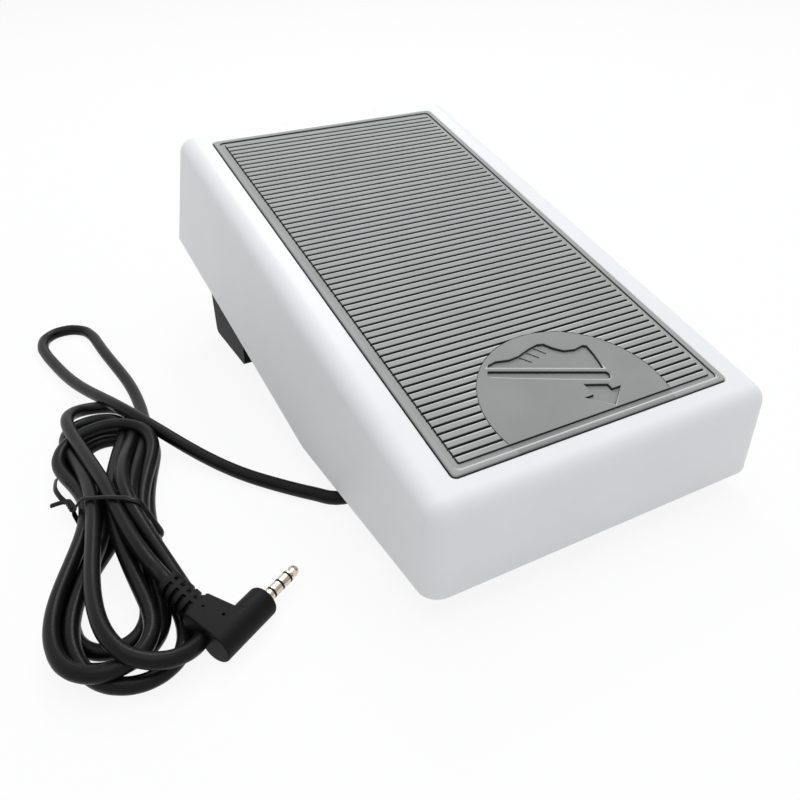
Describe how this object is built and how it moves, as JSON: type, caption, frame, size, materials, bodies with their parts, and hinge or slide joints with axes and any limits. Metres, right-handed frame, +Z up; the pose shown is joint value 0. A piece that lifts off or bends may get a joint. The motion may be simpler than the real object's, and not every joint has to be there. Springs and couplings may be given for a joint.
{
  "type": "sewing machine foot pedal",
  "caption": "Two-way rocking foot pedal for a sewing machine: white sloped cover with a grey ribbed tread on a sprung base, with a cord tied in a hank and a right-angle jack plug",
  "frame": {"origin": "on the floor, under the middle of the pedal's outline without its cord", "axes": "X across the width, +Y from the heel to the toe, +Z up"},
  "size_m": [0.2089, 0.2323, 0.0866],
  "materials": {
    "cover_white": "satin",
    "tread_grey": "matte",
    "inner_ivory": "satin",
    "base_black": "satin",
    "rubber_black": "matte",
    "steel": "zinc plated",
    "board_green": "satin",
    "lead_red": "satin",
    "cord_black": "satin",
    "plug_black": "satin",
    "contact_nickel": "polished nickel"
  },
  "bodies": {
    "base": {"base_tray": "base_black", "pivot_axle": "steel", "toe_springs": "steel", "heel_springs": "steel", "stop_bumpers": "rubber_black", "heel_feet": "rubber_black", "toe_feet": "rubber_black", "circuit_board": "board_green", "board_screws": "steel", "sensor_housing": "base_black", "sensor_spring": "steel", "lead_connector": "inner_ivory", "lead_wires": "lead_red", "cord_clamp": "base_black", "clamp_screws": "steel", "cord_gland": "rubber_black", "cord_tail": "cord_black", "cord": "cord_black", "cord_hank": "cord_black", "twist_tie": "cord_black", "plug_body": "plug_black", "plug_contacts": "contact_nickel", "plug_insulators": "plug_black"},
    "pedal": {"pedal_cover": "cover_white", "tread_pad": "tread_grey", "sensor_striker": "inner_ivory"},
    "plunger": {"sensor_plunger": "inner_ivory"}
  },
  "joints": [
    {"name": "pedal_rock", "type": "hinge", "parent": "base", "child": "pedal", "pos_m": [0, -0.02491, 0.016], "axis": [-1, 0, 0], "range_deg": [-3, 9], "stiffness_Nm_per_rad": 9, "deforming": ["toe_springs", "heel_springs"]},
    {"name": "plunger_slide", "type": "slide", "parent": "base", "child": "plunger", "axis": [0, 0, 1], "range_m": [-0.00173, 0.00518], "deforming": ["sensor_spring"]}
  ],
  "couplings": [
    {"joint": "plunger_slide", "follows": "pedal_rock", "m_per_rad": 0.033}
  ]
}
